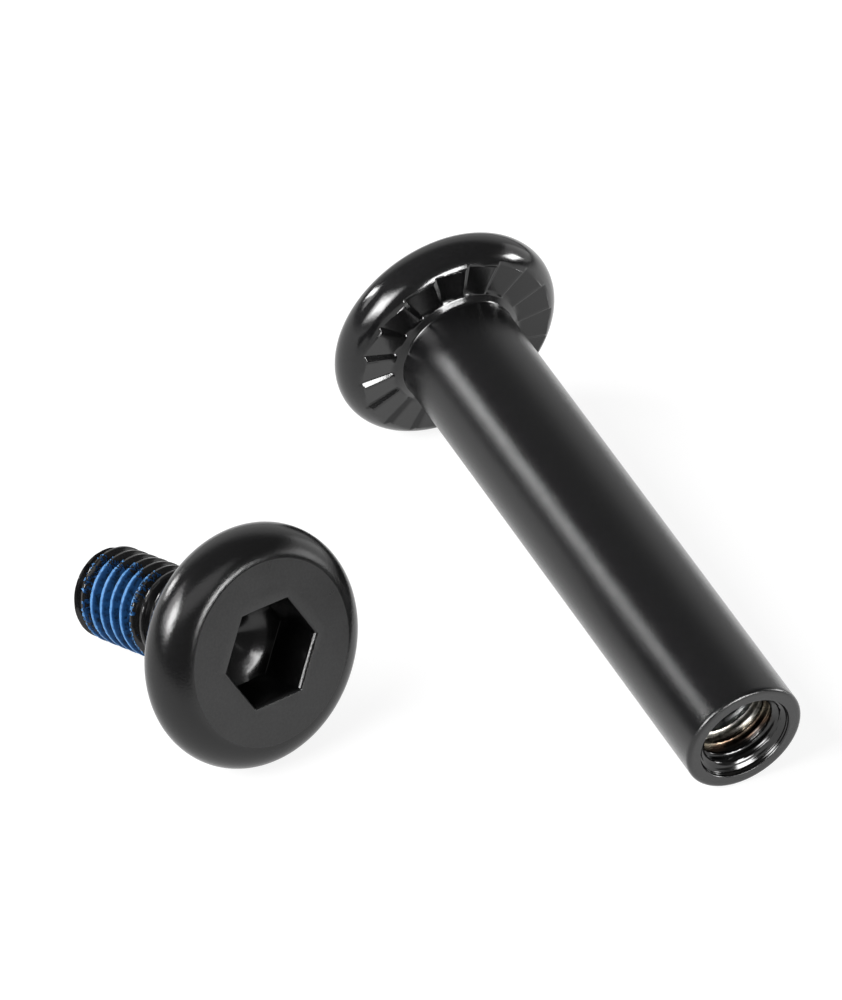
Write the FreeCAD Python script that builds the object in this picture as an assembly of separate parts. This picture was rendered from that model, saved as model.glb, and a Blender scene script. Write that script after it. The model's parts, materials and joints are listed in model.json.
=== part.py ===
import FreeCAD, Part

import math
import os

# Two-piece sleeve axle for a skate brake, taken apart and lying on a flat surface.
# A tubular barrel with a toothed head takes a short clamping screw in its open end.
# Each piece is first built upright on its own axis: z = 0 is the seat under the head,
# the head lies below it and the shank rises from it. Millimetres and degrees.

# Barrel
shank_diameter = 8.0
shank_length = 38.0
shank_end_chamfer = 0.25
barrel_head_diameter = 15.5
barrel_rim_radius = 1.6
neck_bevel = 0.5

# Each head's round edge is drawn as this many narrow cones
rim_steps = 12

# Sawtooth serration pressed into the seat of the barrel's head
tooth_count = 18
tooth_depth = 0.35
tooth_flank_angle = 4.0
tooth_land_angle = 1.2
tooth_turn = 3.5

# Tapped bore in the barrel's open end, drawn at the diameter drilled for the thread
tapping_diameter = 5.0
bore_depth = 20.0
mouth_diameter = 6.3
drill_point_angle = 118.0

# Clamping screw, its thread drawn as rings a pitch apart
thread_diameter = 6.0
thread_pitch = 1.0
thread_depth = 0.6
thread_crest_flat = 0.2
thread_runout = 1.0
screw_head_diameter = 15.5
screw_rim_radius = 2.05
screw_face_cut = 0.04
screw_length = 13.0
screw_tip_chamfer = 0.9
socket_across_flats = 6.0
socket_floor_thickness = 0.56
socket_point_depth = 0.9
socket_edge_chamfer = 0.15
socket_turn = 31.0

# Thread-locking patch, filling one side of the thread to just below its roots
patch_length = 5.0
patch_tip_distance = 1.7
patch_angle = 150.0
patch_bite = 0.05
patch_turn = -90.0

# The two pieces lie side by side, the barrel along +X
screw_along = 19.6
screw_across = -26.4
screw_heading = 191.4

# How far the cutting shapes reach past the surfaces they cut
cutter_margin = 1.0

# The screw's flat face takes a little off the full round of its head
screw_head_height = 2 * screw_rim_radius - screw_face_cut

AXIS_POINT = FreeCAD.Vector(0, 0, 0)
AXIS = FreeCAD.Vector(0, 0, 1)


def at(radius, height):
    """A point of a turned outline."""
    return FreeCAD.Vector(radius, 0, height)


def turned(points):
    """The solid that a closed outline sweeps in one turn about the axis."""
    return Part.Face(Part.makePolygon(points + points[:1])).revolve(AXIS_POINT, AXIS, 360)


def rim_point(head_diameter, rim_radius, angle):
    """A point of a head's round edge: 0 is its widest circle and 90 is the seat."""
    turn = math.radians(angle)
    radius = head_diameter / 2 - rim_radius + rim_radius * math.cos(turn)
    return at(radius, rim_radius * math.sin(turn) - rim_radius)


def rounded_rim(head_diameter, rim_radius, face_angle):
    """A head's round edge, in steps from its outer face to the seat at z = 0."""
    step = (90 - face_angle) / rim_steps
    return [
        rim_point(head_diameter, rim_radius, face_angle + i * step)
        for i in range(rim_steps + 1)
    ]


def tooth_gap(index, reach, root_radius):
    """The wedge pressed out between two crests: a long ramp, then a steep flank.

    Its edges all start from one point on the axis, so it gets deeper outwards.
    """
    pitch = 360.0 / tooth_count
    start = index * pitch + tooth_turn
    valley = start + pitch - tooth_land_angle - tooth_flank_angle
    end = start + pitch - tooth_land_angle
    depth = tooth_depth * reach / (barrel_head_diameter / 2)

    def outer_point(angle, height):
        turn = math.radians(angle)
        return FreeCAD.Vector(reach * math.cos(turn), reach * math.sin(turn), height)

    corners = [outer_point(start, 0), outer_point(valley, -depth), outer_point(end, 0)]
    faces = [Part.Face(Part.makePolygon(corners + corners[:1]))]
    for first, second in zip(corners, corners[1:] + corners[:1]):
        faces.append(Part.Face(Part.makePolygon([AXIS_POINT, first, second, AXIS_POINT])))
    wedge = Part.Solid(Part.makeShell(faces))
    core = Part.makeCylinder(root_radius, 2 * reach, FreeCAD.Vector(0, 0, -reach))
    return wedge.cut(core)


def axle_barrel():
    """One headed piece: toothed pan head, bevelled neck, smooth shank, tapped blind bore."""
    shank = shank_diameter / 2
    bore = tapping_diameter / 2
    mouth = mouth_diameter / 2
    bore_end = shank_length - bore_depth
    bore_tip = bore_end - bore / math.tan(math.radians(drill_point_angle / 2))
    rim = rounded_rim(barrel_head_diameter, barrel_rim_radius, -90)
    blank = turned(rim + [
        at(shank + neck_bevel, 0),
        at(shank, neck_bevel),
        at(shank, shank_length - shank_end_chamfer),
        at(shank - shank_end_chamfer, shank_length),
        at(mouth, shank_length),
        at(bore, shank_length - (mouth - bore)),
        at(bore, bore_end),
        at(0, bore_tip),
        at(0, rim[0].z),
    ])
    reach = barrel_head_diameter / 2 + cutter_margin
    root = shank + neck_bevel
    return blank.cut([tooth_gap(i, reach, root) for i in range(tooth_count)])


def hexagon(across_flats, height):
    """A hexagonal wire square to the axis."""
    corner = across_flats / math.sqrt(3)
    points = []
    for i in range(7):
        turn = math.radians(60 * i + socket_turn)
        points.append(FreeCAD.Vector(corner * math.cos(turn), corner * math.sin(turn), height))
    return Part.makePolygon(points)


def socket_cutter():
    """The hexagonal socket with its bevelled lip and shallow point."""
    face_height = -screw_head_height
    socket_depth = screw_head_height - socket_floor_thickness
    prism = Part.Face(hexagon(socket_across_flats, face_height)).extrude(AXIS * socket_depth)
    lip = Part.makeLoft([
        hexagon(socket_across_flats + 2 * socket_edge_chamfer, face_height),
        hexagon(socket_across_flats, face_height + socket_edge_chamfer),
    ], True)
    floor = at(0, -socket_floor_thickness)
    point = Part.makeCone(socket_across_flats / 2, 0, socket_point_depth, floor)
    return prism.fuse([lip, point])


def patch_sector(outer_radius):
    """The stretch of the thread that the locking patch fills."""
    inner_radius = thread_diameter / 2 - thread_depth - patch_bite
    top = screw_length - patch_tip_distance
    base = FreeCAD.Vector(0, 0, top - patch_length)
    outer = Part.makeCylinder(outer_radius, patch_length, base, AXIS, patch_angle)
    sector = outer.cut(Part.makeCylinder(inner_radius, patch_length, base))
    sector.rotate(AXIS_POINT, AXIS, patch_turn - patch_angle / 2)
    return sector


def thread_rings():
    """The thread's outline: a groove and a flat crest for every pitch."""
    crest = thread_diameter / 2
    root = crest - thread_depth
    groove = thread_pitch - thread_crest_flat
    threaded = screw_length - screw_tip_chamfer - thread_runout
    points = []
    for i in range(int(threaded / thread_pitch)):
        start = thread_runout + i * thread_pitch
        points += [at(crest, start), at(root, start + groove / 2), at(crest, start + groove)]
    return points


def clamping_screw():
    """One headed piece: pan head with a flat face and hex socket, and a threaded shank."""
    thread = thread_diameter / 2
    face_angle = -math.degrees(math.asin(screw_head_height / screw_rim_radius - 1))
    rim = rounded_rim(screw_head_diameter, screw_rim_radius, face_angle)
    blank = turned(rim + [at(thread, 0)] + thread_rings() + [
        at(thread, screw_length - screw_tip_chamfer),
        at(thread - screw_tip_chamfer, screw_length),
        at(0, screw_length),
        at(0, rim[0].z),
    ])
    return blank.cut([socket_cutter(), patch_sector(thread + cutter_margin)])


def thread_locking_patch():
    """The patch, level with the thread's crests."""
    return patch_sector(thread_diameter / 2)


def rest_placement(head_diameter, rim_radius, edge_radius, edge_height, heading, x, y):
    """Lay a headed piece down on z = 0, touching at its rim and at its far edge."""
    centre_radius = head_diameter / 2 - rim_radius
    drop = centre_radius - edge_radius
    span = edge_height + rim_radius
    tilt = math.atan2(drop, span) + math.asin(rim_radius / math.hypot(drop, span))
    height = centre_radius * math.cos(tilt) - rim_radius * math.sin(tilt) + rim_radius
    tip_over = FreeCAD.Rotation(FreeCAD.Vector(0, 1, 0), 90 + math.degrees(tilt))
    swing = FreeCAD.Rotation(AXIS, heading)
    turn_up = FreeCAD.Rotation(AXIS, 180)
    return FreeCAD.Placement(FreeCAD.Vector(x, y, height), swing * tip_over * turn_up)


def lying(shape, placement):
    """A copy of the upright piece, laid in its resting place."""
    copy = shape.copy()
    copy.Placement = placement.multiply(copy.Placement)
    return copy


def main():
    barrel_place = rest_placement(
        barrel_head_diameter, barrel_rim_radius,
        shank_diameter / 2, shank_length - shank_end_chamfer, 0, 0, 0,
    )
    screw_place = rest_placement(
        screw_head_diameter, screw_rim_radius,
        thread_diameter / 2, screw_length - screw_tip_chamfer,
        screw_heading, screw_along, screw_across,
    )
    pieces = {
        "axle_barrel": lying(axle_barrel(), barrel_place),
        "clamping_screw": lying(clamping_screw(), screw_place),
        "thread_locking_patch": lying(thread_locking_patch(), screw_place),
    }

    # The origin is the middle of the set's footprint, on the surface it lies on
    footprint = FreeCAD.BoundBox()
    for shape in pieces.values():
        footprint.add(shape.optimalBoundingBox(False, False))
    to_origin = FreeCAD.Vector(-footprint.Center.x, -footprint.Center.y, 0)

    os.makedirs("parts", exist_ok=True)
    for name, shape in pieces.items():
        shape.translate(to_origin)
        shape.exportStep(os.path.join("parts", name + ".step"))
        print(name, "solids", len(shape.Solids), "valid", shape.isValid(), "volume", round(shape.Volume, 3))


main()
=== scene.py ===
import json
import math

import bpy
import numpy as np
from mathutils import Matrix, Quaternion, Vector

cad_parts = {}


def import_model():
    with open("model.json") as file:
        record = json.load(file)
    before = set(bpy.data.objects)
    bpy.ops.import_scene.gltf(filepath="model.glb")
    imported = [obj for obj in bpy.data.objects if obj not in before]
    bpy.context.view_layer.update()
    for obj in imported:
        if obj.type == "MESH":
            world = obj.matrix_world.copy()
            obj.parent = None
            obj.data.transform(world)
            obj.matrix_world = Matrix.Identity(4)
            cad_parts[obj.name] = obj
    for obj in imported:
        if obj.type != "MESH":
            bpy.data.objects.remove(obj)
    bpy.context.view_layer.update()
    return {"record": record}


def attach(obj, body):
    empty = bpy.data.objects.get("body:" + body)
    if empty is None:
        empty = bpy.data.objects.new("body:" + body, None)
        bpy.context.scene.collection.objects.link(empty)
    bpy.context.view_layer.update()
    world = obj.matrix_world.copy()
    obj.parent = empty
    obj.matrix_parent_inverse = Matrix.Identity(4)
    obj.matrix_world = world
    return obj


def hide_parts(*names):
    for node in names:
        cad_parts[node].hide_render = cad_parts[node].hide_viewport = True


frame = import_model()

# A skate brake axle taken apart: a barrel with a toothed head, and its clamping screw.
# Each piece is drawn upright in millimetres and degrees: the seat under its head is at
# z = 0, the head lies below it and the shank rises from it. It is then laid in the place
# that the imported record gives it.

MM = 0.001
TOOTH_SEED = 11


# Placement

THREAD_MOUNT_HEIGHT = 6.0


def local_place(mount, height):
    """Axes and origin of a piece whose seat lies `height` mm before the mount's point.

    Local Z runs along the mount's axis, and local X points up and square to it.
    """
    z = Vector(mount["axis"]).normalized()
    x = (Vector((0, 0, 1)) - z * z.z).normalized()
    origin = Vector(mount["pos_m"]) - z * height * MM
    return np.array([x, z.cross(x), z]), np.array(origin)


def world(points, place):
    """Local millimetres to world metres."""
    rows, origin = place
    return points.reshape(-1, 3) @ rows * MM + origin


mounts = {mount["name"]: mount for mount in frame["record"]["mounts"]}
BARREL = local_place(mounts["toothed_seat"], 0.0)
SCREW = local_place(mounts["screw_thread"], THREAD_MOUNT_HEIGHT)


# Mesh building

def ring_points(radius, angle, height):
    """Points from polar coordinates, each of them a number or an array."""
    radius, turn, height = np.broadcast_arrays(radius, np.radians(angle), height)
    return np.stack([radius * np.cos(turn), radius * np.sin(turn), height], axis=-1)


def rim_point(centre, rim, angle):
    """Radius and height on a head's round edge: 0 is its widest circle and 90 is the seat."""
    turn = math.radians(angle)
    return centre + rim * math.cos(turn), rim * math.sin(turn) - rim


def closed_grid(rings, tip, at_start=False):
    """Points, quads and end triangles of a stack of rings, closed at one end by a point."""
    rows, columns = rings.shape[:2]
    index = np.arange(rows * columns).reshape(rows, columns)
    right = np.roll(index, -1, axis=1)
    quads = np.stack([index[:-1], right[:-1], right[1:], index[1:]], axis=-1)
    end = rows * columns
    last = end - columns
    if at_start:
        fan = [[end, (i + 1) % columns, i] for i in range(columns)]
    else:
        fan = [[last + i, last + (i + 1) % columns, end] for i in range(columns)]
    points = np.vstack([rings.reshape(-1, 3), [tip]])
    return points, quads.reshape(-1, 4).tolist(), fan


def used_only(points, faces):
    """Leaves out the points that no face uses."""
    used = sorted({index for face in faces for index in face})
    remap = {index: i for i, index in enumerate(used)}
    return points[used], [[remap[index] for index in face] for face in faces]


def add_object(name, data):
    item = bpy.data.objects.new(name, data)
    bpy.context.scene.collection.objects.link(item)
    return item


def mesh_object(name, points, faces, place, sharp, slot_name, materials, slots=None):
    """A smooth piece that rides on the root body, with edges sharp above an angle."""
    mesh = bpy.data.meshes.new(name)
    mesh.from_pydata(world(points, place).tolist(), [], faces)
    for material in materials:
        mesh.materials.append(material)
    if slots is not None:
        mesh.polygons.foreach_set("material_index", np.asarray(slots, dtype=np.int32))
    mesh.polygons.foreach_set("use_smooth", np.ones(len(mesh.polygons), dtype=bool))
    mesh.set_sharp_from_angle(angle=math.radians(sharp))
    mesh.update()
    piece = add_object(name, mesh)
    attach(piece, "root")
    return piece


def soft_min(a, b, width):
    """The lower of two heights, with a round of the given size where they cross."""
    blend = np.clip(0.5 + 0.5 * (b - a) / width, 0, 1)
    return b * (1 - blend) + a * blend - width * blend * (1 - blend)


def soft_max(a, b, width):
    return -soft_min(-a, -b, width)


# Axle barrel

HEAD_RADIUS = 7.75
RIM = 1.6
RIM_CENTRE = HEAD_RADIUS - RIM
SHANK = 4.0
SHANK_END = 38.0
END_ROUND = 0.25

# Teeth: a long ramp down to the valley, then a steep flank up to a narrow land
TEETH = 18
PITCH = 360 / TEETH
TOOTH_TURN = 3.5
TOOTH_DEPTH = 0.27
VALLEY = 16.0
FLANK_END = 18.8
VALLEY_ROUND = 0.02
CREST_COLUMNS_END = 1.5
FLANK_COLUMNS_START = 14.7
TOOTH_RIM_START = 42
TOOTH_RIM_END = 60
TOOTH_EDGE_ROUND = 0.012

# The seat: a low toothed ring, with a raised lip where it meets the rim
SEAT_RISE = 0.04
SEAT_EDGE = 6.7
SEAT_EDGE_SLOPE = 2.5
SEAT_EDGE_STEPS = (0.08, 0.055, 0.04, 0.02, 0.0, -0.016, -0.03, -0.06)
LIP_HEIGHT = 0.035
LIP_WIDTH = 0.32
LIP_OFFSET = 0.1

# The bevel between seat and shank, as distance inwards and height
NECK_BEVEL = 0.43
NECK = SHANK + NECK_BEVEL
NECK_OUTLINE = (
    (0, 0.006), (0.03, 0.02), (0.05, 0.033), (0.1, 0.07), (0.2, 0.143), (0.3, 0.216),
    (0.34, 0.246), (0.38, 0.28), (0.405, 0.32), (0.42, 0.37), (0.428, 0.42),
)
SHANK_COAT_START = 0.55

# The bore's mouth: a rounded edge, then a steep wall that turns in, with turning marks
MOUTH = 3.15
MOUTH_EDGE_START = 0.02
MOUTH_EDGE = ((0.0, 0.0), (0.02, 0.005), (0.035, 0.02), (0.05, 0.04))
WALL_SLOPE = 0.35
WALL_BEND = 0.35
WALL_EXTRA_SLOPE = 1.3
MARK_DEPTH = 0.012
MARK_PITCH = 0.16
MARKED_LENGTH = 0.64

# How much of the teeth's depth is left where they run out at the neck
TEETH_RUNOUT = ((0.16, 0.9), (0.08, 0.5), (0.03, 0.1))

# The columns of one tooth, closer together at its crest and along its flank
tooth_columns = np.concatenate([
    np.arange(0, CREST_COLUMNS_END, 0.3),
    np.arange(CREST_COLUMNS_END, FLANK_COLUMNS_START, 1.2),
    np.arange(FLANK_COLUMNS_START, PITCH, 0.22),
])
angles = np.concatenate([TOOTH_TURN + PITCH * k + tooth_columns for k in range(TEETH)])
tooth_index = np.repeat(np.arange(TEETH), len(tooth_columns))
phase = np.tile(tooth_columns, TEETH)

# No two teeth are quite the same
noise = np.random.RandomState(TOOTH_SEED)
tooth_factor = 1 + noise.uniform(-0.1, 0.06, TEETH)
crest_round = noise.uniform(0.012, 0.03, TEETH)
edge_offsets = noise.uniform(-0.11, 0.11, TEETH)
edge_places = TOOTH_TURN + PITCH * (np.arange(TEETH) + 0.6)
seat_edge = SEAT_EDGE + np.interp(angles, edge_places, edge_offsets, period=360)


def saw(radius):
    """Height of the toothed seat along one ring."""
    depth = TOOTH_DEPTH * radius / HEAD_RADIUS * tooth_factor[tooth_index]
    worn = crest_round[tooth_index]
    ramp = -depth * phase / VALLEY
    flank = -depth * (FLANK_END - phase) / (FLANK_END - VALLEY)
    next_ramp = depth * (PITCH - phase) / VALLEY
    cut = soft_min(soft_max(ramp, flank, VALLEY_ROUND), next_ramp, worn)
    return soft_min(cut, np.zeros_like(cut), worn) + SEAT_RISE


def seat_blank(radius):
    """Height of the uncut head near the seat: its round edge, the lip and the low ring."""
    reach = np.maximum(radius - RIM_CENTRE, 0.0)
    lip = LIP_HEIGHT * np.exp(-((radius - seat_edge - LIP_OFFSET) / LIP_WIDTH) ** 2)
    rim_height = np.sqrt(RIM ** 2 - reach * reach) - RIM + lip
    ring_height = np.minimum(SEAT_RISE, SEAT_EDGE_SLOPE * (seat_edge - radius))
    return np.maximum(rim_height, ring_height)


def barrel_rings():
    """Rings from the middle of the head's outer face round to the bore's mouth."""
    rings = []

    def add(radius, height):
        rings.append(ring_points(radius, angles, height))

    # Outer face and plain part of the rim
    for radius in (0.3, 2.0, 4.0, 5.4, 6.0, RIM_CENTRE):
        add(radius, -2 * RIM)
    for turn in np.linspace(-90, TOOTH_RIM_START, 19)[1:]:
        add(*rim_point(RIM_CENTRE, RIM, turn))

    # Toothed rim, lip and seat
    toothed = np.linspace(TOOTH_RIM_START + 2, TOOTH_RIM_END, 12)
    radii = [rim_point(RIM_CENTRE, RIM, turn)[0] for turn in toothed]
    radii += [seat_edge + step for step in SEAT_EDGE_STEPS]
    radii += list(np.linspace(SEAT_EDGE - 0.22, NECK + 0.3, 16))
    for radius in radii:
        add(radius, soft_min(seat_blank(radius), saw(radius), TOOTH_EDGE_ROUND))
    for outward, share in TEETH_RUNOUT:
        add(NECK + outward, saw(NECK + outward) * share)

    # Neck, shank and open end
    for inward, height in NECK_OUTLINE:
        add(NECK - inward, height)
    for height in (0.6, 2, 6, 12, 20, 28, 34, 37, 37.6):
        add(SHANK, height)
    for turn in (0, 20, 45, 70, 90):
        a = math.radians(turn)
        radius = SHANK - END_ROUND + END_ROUND * math.cos(a)
        add(radius, SHANK_END - END_ROUND + END_ROUND * math.sin(a))
    for radius in (3.6, 3.4, 3.2):
        add(radius, SHANK_END)
    for inward, drop in MOUTH_EDGE:
        add(MOUTH + MOUTH_EDGE_START - inward, SHANK_END - drop)
    return np.array(rings)


def build_barrel(coat, shank_coat):
    rings = barrel_rings()
    columns = rings.shape[1]
    points, quads, face_middle = closed_grid(rings, (0, 0, -2 * RIM), at_start=True)
    on_shank = np.repeat(rings[:-1, 0, 2] > SHANK_COAT_START, columns)
    slots = np.concatenate([on_shank, np.zeros(columns, dtype=bool)])
    return mesh_object(
        "barrel_body", points, quads + face_middle, BARREL, 38,
        "black_finish", [coat, shank_coat], slots,
    )


# The tapped bore, with its thread running out some way above its bottom
BORE = 2.5
BORE_TOP = SHANK_END - 0.03
BORE_FINE_END = 29
BORE_BOTTOM = 18.0
BORE_COLUMNS = 96
GROOVE_DEPTH = 0.5
THREAD_RUNOUT_END = 20.5
THREAD_RUNOUT_LENGTH = 1.5
TAP_MARK_DEPTH = 0.045
DRILL_HALF_ANGLE = 59


def mouth_wall(drop):
    """Radius of the mouth's wall at a depth below the end face."""
    radius = MOUTH - WALL_SLOPE * drop - WALL_EXTRA_SLOPE * max(drop - WALL_BEND, 0)
    if drop < MARKED_LENGTH:
        radius -= MARK_DEPTH * (1 - math.cos(math.tau * drop / MARK_PITCH))
    return radius


def bore_radius(angle, height):
    """A helical groove with a pitch of 1 mm, cut outwards from the drilled bore."""
    p = (height - angle / 360) % 1
    groove = np.clip((0.5 - np.abs(p - 0.5)) * 2.4 - 0.28, 0, 0.86) / 0.86
    fade = np.clip((height - THREAD_RUNOUT_END) / THREAD_RUNOUT_LENGTH, 0, 1)
    marks = TAP_MARK_DEPTH * np.cos(6 * np.pi * p + 0.6) * fade
    thread = BORE + GROOVE_DEPTH * groove * fade + marks
    return np.maximum(thread, mouth_wall(SHANK_END - height))


def build_bore(metal):
    around = np.linspace(0, 360, BORE_COLUMNS, endpoint=False)
    heights = np.concatenate([
        np.arange(BORE_TOP, BORE_FINE_END, -1 / 36),
        np.arange(BORE_FINE_END, BORE_BOTTOM, -1 / 12),
    ])
    rings = np.array([ring_points(bore_radius(around, z), around, z) for z in heights])
    tip = BORE_BOTTOM - BORE / math.tan(math.radians(DRILL_HALF_ANGLE))
    points, quads, end = closed_grid(rings, (0, 0, tip))
    return mesh_object(
        "barrel_bore_thread", points, quads + end, BARREL, 50, "black_finish", [metal],
    )


# Clamping screw

SCREW_RIM = 2.05
SCREW_RIM_CENTRE = HEAD_RADIUS - SCREW_RIM
FACE = -4.06
FACE_EDGE = 5.98
SOCKET_WIDTH = 6.0
SOCKET_TURN = 31.0
SOCKET_POINT = 0.67
SCREW_NECK = 3.15
SCREW_NECK_ROUND = 0.25

# Radius and height across the socket's shallow conical floor
SOCKET_FLOOR = (
    (0.06, 0.66), (0.6, 0.4), (1.2, 0.1), (1.6, -0.1), (1.8, -0.18), (2.4, -0.38), (3.0, -0.56),
)
SOCKET_FLOOR_HEIGHT = -0.56

# The socket's rounded lip, as distance outwards and height under the face
SOCKET_LIP = ((0.01, 0.2), (0.03, 0.16), (0.08, 0.07), (0.1, 0.045), (0.14, 0.015), (0.2, 0.0))

FACE_KIND, RIM_KIND, SOCKET_KIND = 0, 1, 2


def hex_radius(angle):
    """Distance from the axis to the socket's sides."""
    local = (angle - SOCKET_TURN) % 60 - 30
    return SOCKET_WIDTH / 2 / np.cos(np.radians(local))


def build_screw_head(satin, gloss, dark):
    """The head, and its socket as a piece of its own, with a darker black that is painted shade.
    """
    around = SOCKET_TURN + np.arange(0, 360, 1.0)
    rings, kinds = [], []

    def add(radius, height, kind):
        rings.append(ring_points(radius, around, height))
        kinds.append(kind)

    # Socket floor, walls and lip
    for radius, height in SOCKET_FLOOR:
        add(radius, height, SOCKET_KIND)
    hexagon = hex_radius(around)
    add(hexagon - 0.04, SOCKET_FLOOR_HEIGHT, SOCKET_KIND)
    for height in (-0.6, -1.5, -2.6, -3.6, FACE + 0.25):
        add(hexagon, height, SOCKET_KIND)
    for outward, height in SOCKET_LIP:
        add(hexagon + outward, FACE + height, RIM_KIND)

    # Face, rim and underside, down to the neck
    lip_edge = hexagon + SOCKET_LIP[-1][0]
    for share in (0.25, 0.5, 0.75, 1.0):
        add(lip_edge + (FACE_EDGE - lip_edge) * share, FACE, FACE_KIND)
    face_turn = math.degrees(math.asin(-FACE / SCREW_RIM - 1))
    for turn in np.linspace(-face_turn, 90, 26):
        add(*rim_point(SCREW_RIM_CENTRE, SCREW_RIM, turn), RIM_KIND)
    for radius in (4.6, 3.6, SCREW_NECK):
        add(radius, 0.0, RIM_KIND)
    for turn in (30, 60, 90):
        a = math.radians(turn)
        radius = SCREW_NECK - SCREW_NECK_ROUND * math.sin(a)
        add(radius, SCREW_NECK_ROUND - SCREW_NECK_ROUND * math.cos(a), RIM_KIND)

    # A quad takes the kind of its outer ring, but the socket's reach up to the lip
    tip = (0, 0, SOCKET_POINT)
    points, quads, floor_middle = closed_grid(np.array(rings), tip, at_start=True)
    slots = []
    for inner_kind, outer_kind in zip(kinds, kinds[1:]):
        kind = SOCKET_KIND if inner_kind == SOCKET_KIND else outer_kind
        slots += [kind] * len(around)
    shell = [quad for quad, kind in zip(quads, slots) if kind != SOCKET_KIND]
    inside = [quad for quad, kind in zip(quads, slots) if kind == SOCKET_KIND]
    outer = mesh_object(
        "screw_head", *used_only(points, shell), SCREW, 30, "black_finish", [satin, gloss],
        [kind for kind in slots if kind != SOCKET_KIND],
    )
    inner = mesh_object(
        "screw_socket", *used_only(points, inside + floor_middle), SCREW, 30,
        "black_finish", [dark],
    )
    return outer, inner


THREAD = 3.0
THREAD_ROOT = 2.39
THREAD_START = 0.35
THREAD_START_LENGTH = 0.9
SCREW_TIP = 13.0
TIP_CHAMFER = 0.9
TIP_DISH = 0.03
THREAD_ROW = 1 / 22


def thread_radius(angle, height):
    """A right-hand thread with flat crests and round roots, chamfered at the tip."""
    p = (height - angle / 360) % 1
    ramp = (0.5 - np.abs(p - 0.5)) * 2
    flank = np.clip((ramp - 0.14) / 0.68, 0, 1)
    smooth = flank * flank * (3 - 2 * flank) * 0.35 + flank * 0.65
    depth = (THREAD - THREAD_ROOT) * (1 - smooth)
    start = np.clip((height - THREAD_START) / THREAD_START_LENGTH, 0, 1)
    return np.minimum(THREAD - depth * start, THREAD - (height - (SCREW_TIP - TIP_CHAMFER)))


def build_screw_thread(coat):
    around = np.arange(0, 360, 3.0)
    heights = np.concatenate([np.arange(-0.05, SCREW_TIP - 0.05, THREAD_ROW), [SCREW_TIP]])
    rings = np.array([ring_points(thread_radius(around, z), around, z) for z in heights])
    points, quads, end = closed_grid(rings, (0, 0, SCREW_TIP - TIP_DISH))
    return mesh_object("screw_thread", points, quads + end, SCREW, 40, "black_finish", [coat])


# Thread-locking patch: where it lies on the thread, and the wider grid it is cut from
PATCH_MIDDLE = -90
PATCH_HALF_TURN = 75
PATCH_TOP = 11.3
PATCH_BOTTOM = 6.3
GRID_TURNS = (-185, 5, 1.5)
GRID_HEIGHTS = (12.2, 5.6, -THREAD_ROW)
GRID_SIZE = (192, 6.7)

# Seed, cells across the grid and reach in degrees of each layer of the border's noise
BORDER_NOISE = ((3, 60, 7), (5, 22, 5), (9, 127, 11))
BORDER_LOSS = 4
TURN_PER_MM = 19

# The film fills the grooves to a radius, lies thinly over the crests and is a little uneven
FILL = 2.5
FILL_ROUND = 0.1
FILM = 0.045
FILM_LIMIT = 0.05
FILM_SINK = 0.05
FILM_SEED, FILM_CELLS, FILM_RELIEF = 21, 80, 0.012
# Painted highlight: the colour pales towards the crests, from this radius over this span.
CREST_START = 2.55
CREST_SPAN = 0.5
CREST_POWER = 7
CREST_HIGHLIGHT_STRENGTH = 0.65


def value_noise(u, v, seed, cells):
    """Smooth seeded noise over the unit square."""
    table = np.random.RandomState(seed).uniform(-1, 1, (cells + 2, cells + 2))
    x, y = u * cells, v * cells
    ix, iy = np.floor(x).astype(int), np.floor(y).astype(int)
    fx, fy = x - ix, y - iy
    fx, fy = fx * fx * (3 - 2 * fx), fy * fy * (3 - 2 * fy)
    top = table[ix, iy] * (1 - fx) + table[ix + 1, iy] * fx
    low = table[ix, iy + 1] * (1 - fx) + table[ix + 1, iy + 1] * fx
    return top * (1 - fy) + low * fy


def patch_cells(turn, height, u, v):
    """Which cells of the patch's grid are kept: a ragged, spattered border round the middle."""
    inside_turn = PATCH_HALF_TURN - np.abs(turn - PATCH_MIDDLE)
    inside_height = np.minimum(PATCH_TOP - height, height - PATCH_BOTTOM) * TURN_PER_MM
    rough = sum(value_noise(u, v, seed, cells) * reach for seed, cells, reach in BORDER_NOISE)
    keep = (np.minimum(inside_turn, inside_height) + (rough - BORDER_LOSS)) > 0
    keep[0] = keep[-1] = False
    keep[:, 0] = keep[:, -1] = False
    return keep[:-1, :-1]


def skin_faces(cells, rows, columns):
    """Faces of a skin over the kept cells, with a wall wherever a neighbour is left out.

    Its outer points come first, row by row, and then as many inner ones.
    """
    count = rows * columns
    index = np.arange(count).reshape(rows, columns)
    kept = np.pad(cells, 1)
    faces = []
    for i, j in zip(*np.nonzero(cells)):
        a, b, c, d = index[i, j], index[i, j + 1], index[i + 1, j + 1], index[i + 1, j]
        faces.append([a, d, c, b])
        faces.append([a + count, b + count, c + count, d + count])
        sides = ((0, -1, a, d), (0, 1, c, b), (-1, 0, b, a), (1, 0, d, c))
        for down, across, first, second in sides:
            if not kept[i + 1 + down, j + 1 + across]:
                faces.append([first, first + count, second + count, second])
    return faces


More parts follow.
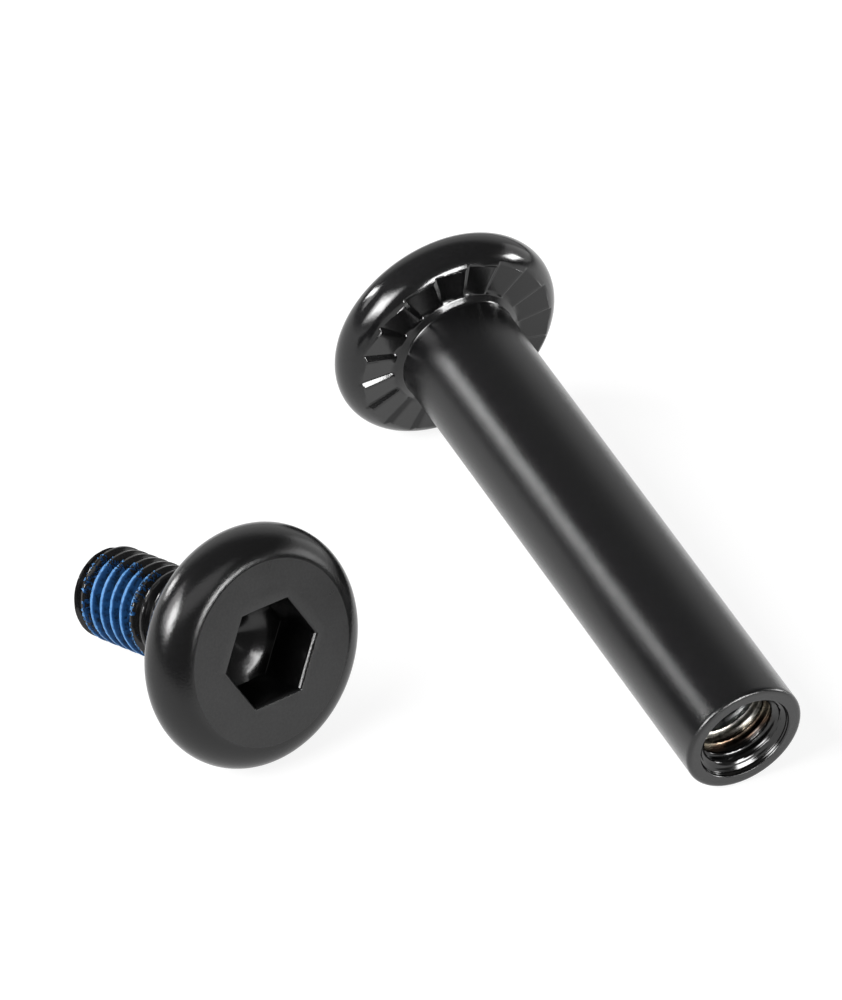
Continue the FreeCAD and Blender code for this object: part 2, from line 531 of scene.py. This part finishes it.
def build_patch(nylon):
    """A thin fused skin over the thread."""
    turn, height = np.meshgrid(np.arange(*GRID_TURNS), np.arange(*GRID_HEIGHTS))
    u = (turn - GRID_TURNS[0]) / GRID_SIZE[0]
    v = (GRID_HEIGHTS[0] - height) / GRID_SIZE[1]
    faces = skin_faces(patch_cells(turn, height, u, v), *turn.shape)
    base = thread_radius(turn, height)
    film = soft_max(base, FILL, FILL_ROUND) + FILM
    film += value_noise(u, v, FILM_SEED, FILM_CELLS) * FILM_RELIEF
    film = np.minimum(film, THREAD + FILM_LIMIT)
    outer = ring_points(film, turn, height)
    inner = ring_points(base - FILM_SINK, turn, height)
    points = np.concatenate([outer.reshape(-1, 3), inner.reshape(-1, 3)])
    # The painted highlight along the crests, carried to the colour as the point attribute crest.
    rise = np.clip((film.ravel() - CREST_START) / CREST_SPAN, 0, 1)
    crest = rise ** CREST_POWER * CREST_HIGHLIGHT_STRENGTH
    labelled = np.column_stack([points, np.concatenate([crest, crest])])
    labelled, faces = used_only(labelled, faces)
    piece = mesh_object(
        "thread_patch_skin", labelled[:, :3], faces, SCREW, 50, "blue_nylon", [nylon],
    )
    label = piece.data.attributes.new("crest", "FLOAT", "POINT")
    label.data.foreach_set("value", labelled[:, 3].astype(np.float32))
    return piece


# Node building

def set_inputs(tree, node, inputs):
    """Gives each named or numbered input a socket to be linked to, or a value."""
    for key, source in inputs.items():
        if isinstance(source, bpy.types.NodeSocket):
            tree.links.new(source, node.inputs[key])
        else:
            node.inputs[key].default_value = source


def add_node(tree, kind, inputs, operation=None):
    node = tree.nodes.new("ShaderNode" + kind)
    if operation:
        node.operation = operation
    set_inputs(tree, node, inputs)
    return node


def coordinates(tree, kind):
    return add_node(tree, "TexCoord", {}).outputs[kind]


def noise_texture(tree, place, scale, detail, roughness=0.55):
    inputs = {"Vector": place, "Scale": scale, "Detail": detail, "Roughness": roughness}
    return add_node(tree, "TexNoise", inputs).outputs["Fac"]


def colour_ramp(tree, source, stops):
    node = add_node(tree, "ValToRGB", {"Fac": source})
    elements = node.color_ramp.elements
    while len(elements) < len(stops):
        elements.new(0.5)
    for element, (position, colour) in zip(elements, stops):
        element.position = position
        element.color = (*colour, 1)
    return node.outputs["Color"]


def remap(tree, source, low, high, from_low=0.0, from_high=1.0):
    inputs = {
        "Value": source, "From Min": from_low, "From Max": from_high,
        "To Min": low, "To Max": high,
    }
    return add_node(tree, "MapRange", inputs).outputs["Result"]


def relief(tree, height, distance):
    inputs = {"Strength": 1.0, "Distance": distance, "Height": height}
    return add_node(tree, "Bump", inputs).outputs["Normal"]


def along_direction(tree, place, direction):
    """How far a point lies in a direction."""
    node = add_node(tree, "VectorMath", {0: place, 1: direction}, "DOT_PRODUCT")
    return node.outputs["Value"]


def mixed(tree, factor, first, second):
    return add_node(tree, "MixShader", {"Fac": factor, 1: first, 2: second}).outputs[0]


def either_ray(tree, first, second):
    """1 for two kinds of ray, otherwise 0."""
    path = add_node(tree, "LightPath", {}).outputs
    return add_node(tree, "Math", {0: path[first], 1: path[second]}, "MAXIMUM").outputs[0]


def camera_ray(tree):
    return add_node(tree, "LightPath", {}).outputs["Is Camera Ray"]


def new_material(name):
    material = bpy.data.materials.new(name)
    material.use_nodes = True
    return material, material.node_tree


# Materials

# The gloss is uneven on a scale this much larger than the grain
GLOSS_SPREAD = 14

# Depths in the bore where the coating ends and where the metal is bare
COATED_DEPTH = 0.8
BARE_DEPTH = 5.0


def coated_black(name, colour, roughness, grain, grain_height):
    """Black coating with a fine orange-peel grain and slightly uneven gloss."""
    material, tree = new_material(name)
    place = coordinates(tree, "Object")
    fine = noise_texture(tree, place, grain, 4.0, 0.6)
    broad = noise_texture(tree, place, grain / GLOSS_SPREAD, 2.0)
    low = [c * 0.75 for c in colour]
    high = [c * 1.3 for c in colour]
    set_inputs(tree, tree.nodes["Principled BSDF"], {
        "Base Color": colour_ramp(tree, fine, [(0.35, low), (0.65, high)]),
        "Roughness": remap(tree, broad, roughness * 0.85, roughness * 1.15, 0.3, 0.7),
        "Normal": relief(tree, fine, grain_height),
        "IOR": 1.5,
    })
    return material


def tapped_metal(name, roughness):
    """Tapped metal, coated black near the open end, stained further in and bare at its depth."""
    material, tree = new_material(name)
    place = coordinates(tree, "Object")
    rows, origin = BARREL
    mouth = float(np.dot(rows[2], origin)) + SHANK_END * MM
    along = along_direction(tree, place, tuple(rows[2]))
    depth = remap(tree, along, 0, 1, mouth - COATED_DEPTH * MM, mouth - BARE_DEPTH * MM)
    broad = noise_texture(tree, place, 420, 2.0)
    ragged = add_node(tree, "Math", {0: broad, 1: 0.5, 2: depth}, "MULTIPLY_ADD").outputs[0]
    bare = remap(tree, ragged, 0, 1, 0.25, 1.1)
    tint = colour_ramp(tree, bare, [
        (0.2, (0.007, 0.007, 0.007)), (0.34, (0.1, 0.065, 0.045)),
        (0.5, (0.24, 0.21, 0.16)), (0.8, (0.36, 0.37, 0.37)),
    ])
    blotch = noise_texture(tree, place, 1300, 4.0, 0.65)
    shade = remap(tree, blotch, 0.25, 1, 0.38, 0.56)
    dimmed = add_node(tree, "VectorMath", {0: tint, "Scale": shade}, "SCALE")
    set_inputs(tree, tree.nodes["Principled BSDF"], {
        "Base Color": dimmed.outputs[0],
        "Metallic": remap(tree, bare, 0, 1, 0.18, 0.32),
        "Roughness": remap(tree, bare, roughness * 0.5, roughness, 0.2, 0.5),
    })
    return material


def nylon_material(name):
    """Speckled blue, with a painted highlight that pales it along the thread's crests."""
    material, tree = new_material(name)
    place = coordinates(tree, "Object")
    speck = noise_texture(tree, place, 3200, 3.0, 0.6)
    # The crest attribute carries the painted highlight along the thread's crests.
    crest = add_node(tree, "Attribute", {})
    crest.attribute_name = "crest"
    inputs = {0: speck, 1: 0.7, 2: crest.outputs["Fac"]}
    blend = add_node(tree, "Math", inputs, "MULTIPLY_ADD").outputs[0]
    set_inputs(tree, tree.nodes["Principled BSDF"], {
        "Base Color": colour_ramp(tree, blend, [
            (0.27, (0.0015, 0.01, 0.026)), (0.4, (0.006, 0.036, 0.11)),
            (0.7, (0.011, 0.058, 0.17)), (0.95, (0.08, 0.22, 0.46)),
        ]),
        "Normal": relief(tree, speck, 0.00003),
        "Roughness": 0.38,
        "Specular IOR Level": 0.14,
    })
    return material


barrel_coat = coated_black("barrel_black", (0.0075, 0.0075, 0.0078), 0.13, 5200, 0.000004)
shank_coat = coated_black("shank_black", (0.0068, 0.0068, 0.0071), 0.17, 9000, 0.000016)
thread_coat = coated_black("thread_black", (0.007, 0.007, 0.0073), 0.12, 5200, 0.000005)
# The rim's black and the socket's still darker black are painted shade.
rim_coat_shaded = coated_black("rim_black_shaded", (0.0052, 0.0052, 0.0054), 0.17, 7000, 0.00001)
# The face's black is lighter than the rest of the coating: painted sheen.
face_coat_sheen = coated_black("face_black_sheen", (0.015, 0.015, 0.0153), 0.32, 6500, 0.000006)
socket_coat_shaded = coated_black("socket_black_shaded", (0.004, 0.004, 0.0042), 0.16, 4200, 0.000003)
bore_metal = tapped_metal("bore_metal", 0.28)
patch_nylon = nylon_material("patch_blue")


# Pieces

barrel = build_barrel(barrel_coat, shank_coat)
bore = build_bore(bore_metal)
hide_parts("axle_barrel")
head, socket = build_screw_head(face_coat_sheen, rim_coat_shaded, socket_coat_shaded)
thread = build_screw_thread(thread_coat)
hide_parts("clamping_screw")
patch = build_patch(patch_nylon)
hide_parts("thread_locking_patch")


# Camera, fitted to the photograph

VIEW_TURN = math.radians(58.25)
VIEW_RISE = math.radians(37.88)
VIEW_ROLL = math.radians(5.476)
VIEW_DISTANCE = 0.6097
VIEW_TARGET = Vector((-0.01250, 0.00847, 0.0))
FOCAL_PIXELS = 9547
IMAGE_HEIGHT = 1000
SENSOR_HEIGHT = 36
SWING = Matrix.Rotation(VIEW_TURN, 3, "Z")


def add_camera():
    level_right = SWING @ Vector((1, 0, 0))
    level_up = SWING @ Vector((0, math.sin(VIEW_RISE), math.cos(VIEW_RISE)))
    back = SWING @ Vector((0, -math.cos(VIEW_RISE), math.sin(VIEW_RISE)))
    right = level_right * math.cos(VIEW_ROLL) + level_up * math.sin(VIEW_ROLL)
    up = level_up * math.cos(VIEW_ROLL) - level_right * math.sin(VIEW_ROLL)
    data = bpy.data.cameras.new("camera")
    data.sensor_fit = "VERTICAL"
    data.sensor_height = SENSOR_HEIGHT
    data.lens = SENSOR_HEIGHT * FOCAL_PIXELS / IMAGE_HEIGHT
    data.clip_start = 0.01
    data.clip_end = 20
    camera = add_object("camera", data)
    axes = Matrix((right, up, back)).transposed().to_4x4()
    axes.translation = VIEW_TARGET + back * VIEW_DISTANCE
    camera.matrix_world = axes
    bpy.context.scene.camera = camera


# Floor

FLOOR_SIZE = 3.0
FLOOR_DROP = 0.00002
FLOOR_MIDDLE = (-0.03, 0.02, 0)


def glow_over_white(tree, albedo, strength):
    """A white surface of the given albedo that also glows."""
    diffuse = add_node(tree, "BsdfDiffuse", {"Color": (albedo, albedo, albedo, 1)})
    glow = add_node(tree, "Emission", {"Strength": strength})
    return add_node(tree, "AddShader", {0: diffuse.outputs[0], 1: glow.outputs[0]}).outputs[0]


def floor_material():
    """White to the camera with a faint shadow.

    In reflections it is white too, brighter to the right and dimmer far off.
    """
    material, tree = new_material("floor_white")
    tree.nodes.clear()
    plain = glow_over_white(tree, 0.8, 0.0)
    seen = glow_over_white(tree, 0.25, 0.87)
    place = coordinates(tree, "Object")
    sideways = along_direction(tree, place, (math.cos(VIEW_TURN), math.sin(VIEW_TURN), 0))
    near = glow_over_white(tree, 0.3, remap(tree, sideways, 0.62, 1.05, -0.004, 0.03))
    far = glow_over_white(tree, 0.2, 0.05)
    distance = add_node(tree, "VectorMath", {0: place, 1: FLOOR_MIDDLE}, "DISTANCE")
    fade = remap(tree, distance.outputs["Value"], 0.0, 1.0, 0.06, 0.2)
    mirrored = mixed(tree, fade, near, far)
    glossy = either_ray(tree, "Is Glossy Ray", "Is Transmission Ray")
    shade = mixed(tree, glossy, plain, mirrored)
    shade = mixed(tree, camera_ray(tree), shade, seen)
    add_node(tree, "OutputMaterial", {"Surface": shade})
    return material


def add_floor():
    half = FLOOR_SIZE / 2
    mesh = bpy.data.meshes.new("floor")
    corners = [(-half, -half, 0), (half, -half, 0), (half, half, 0), (-half, half, 0)]
    mesh.from_pydata(corners, [], [(0, 1, 2, 3)])
    mesh.materials.append(floor_material())
    floor = add_object("floor", mesh)
    floor.location = (0, 0, -FLOOR_DROP)


# Light

ROOM_DARK = 0.2
ROOM_BACKDROP = 0.9
ROOM_FILL = 0.35


def studio_direction(azimuth, elevation):
    """Azimuth 0 is on the camera's side and grows to its right."""
    a, e = math.radians(azimuth), math.radians(elevation)
    level = Vector((math.sin(a) * math.cos(e), -math.cos(a) * math.cos(e), math.sin(e)))
    return SWING @ level


def add_world():
    """White to the camera and an even fill for colour.

    Reflections show a dark room, with a pale backdrop low down behind the object.
    """
    world_shade = bpy.data.worlds.new("studio")
    world_shade.use_nodes = True
    tree = world_shade.node_tree
    tree.nodes.clear()

    def light(strength):
        return add_node(tree, "Background", {"Strength": strength}).outputs[0]

    direction = coordinates(tree, "Generated")
    behind = along_direction(tree, direction, studio_direction(180, 0))
    facing = remap(tree, behind, 0, 1, 0.5, 0.8)
    split = add_node(tree, "SeparateXYZ", {0: direction})
    low = remap(tree, split.outputs["Z"], 1, 0, 0.6, 0.9)
    both = add_node(tree, "Math", {0: facing, 1: low}, "MULTIPLY").outputs[0]
    room = light(remap(tree, both, ROOM_DARK, ROOM_BACKDROP))
    glossy = either_ray(tree, "Is Glossy Ray", "Is Transmission Ray")
    shade = mixed(tree, glossy, light(ROOM_FILL), room)
    shade = mixed(tree, camera_ray(tree), shade, light(1.0))
    add_node(tree, "OutputWorld", {"Surface": shade})
    bpy.context.scene.world = world_shade


def soft_box(
    name, azimuth, elevation, wide, high, radiance, only_for=None, roll=0.0, distance=0.6,
):
    """A rectangular lamp that faces the object, with half its size given as angles.

    A lamp for named pieces shows in their gloss alone, and the others light colours alone.
    """
    data = bpy.data.lights.new(name, "AREA")
    data.shape = "RECTANGLE"
    data.size = 2 * distance * math.tan(math.radians(wide))
    data.size_y = 2 * distance * math.tan(math.radians(high))
    data.energy = 4 * radiance * data.size * data.size_y
    lamp = add_object(name, data)
    aim = studio_direction(azimuth, elevation)
    lamp.location = aim * distance
    turned = aim.to_track_quat("Z", "Y") @ Quaternion((0, 0, 1), math.radians(roll))
    lamp.rotation_euler = turned.to_euler()
    if only_for is None:
        lamp.visible_glossy = False
        return
    lamp.visible_diffuse = False
    receivers = bpy.data.collections.new(name + "_receivers")
    for piece in only_for:
        receivers.objects.link(piece)
    lamp.light_linking.receiver_collection = receivers


barrel_pieces = [barrel, bore]
screw_pieces = [head, socket, thread, patch]
all_pieces = barrel_pieces + screw_pieces

add_floor()
add_world()

# Name, direction, half width, half height, radiance and the pieces it is for
soft_box("key", -62, 35, 24, 20, 6.5)
soft_box("barrel_key", -34, 22, 23, 18, 3.0, barrel_pieces)
soft_box("barrel_key_middle", -33, 22, 18, 13, 7.0, barrel_pieces, distance=0.56)
soft_box("barrel_key_core", -32, 22, 12, 8, 10.0, barrel_pieces, distance=0.52)
soft_box("barrel_left", -113, 17, 12, 4, 16.0, barrel_pieces, roll=42)
soft_box("barrel_right", 101, 12, 8, 5, 22.0, barrel_pieces)
soft_box("barrel_front", 44, 12, 12, 9, 24.0, barrel_pieces)
soft_box("stripe", -98, 20, 8, 9, 2.4, barrel_pieces, distance=0.55)
soft_box("screw_key", -70, 32, 20, 16, 3.5, screw_pieces)
soft_box("screw_key_core", -58, 34, 11, 10, 14.0, screw_pieces, distance=0.55)
soft_box("screw_left", -124, 8, 9, 5, 10.0, screw_pieces, roll=55)
soft_box("screw_right", 97, 11, 9, 9, 2.2, screw_pieces)
soft_box("screw_top", 10, 58, 30, 14, 0.8, screw_pieces)
soft_box("screw_front", 59, 18, 9, 6, 14.0, screw_pieces)
soft_box("right_wall", 122, 12, 18, 14, 0.8, all_pieces, distance=0.65)

add_camera()
bpy.context.scene.view_settings.view_transform = "Standard"
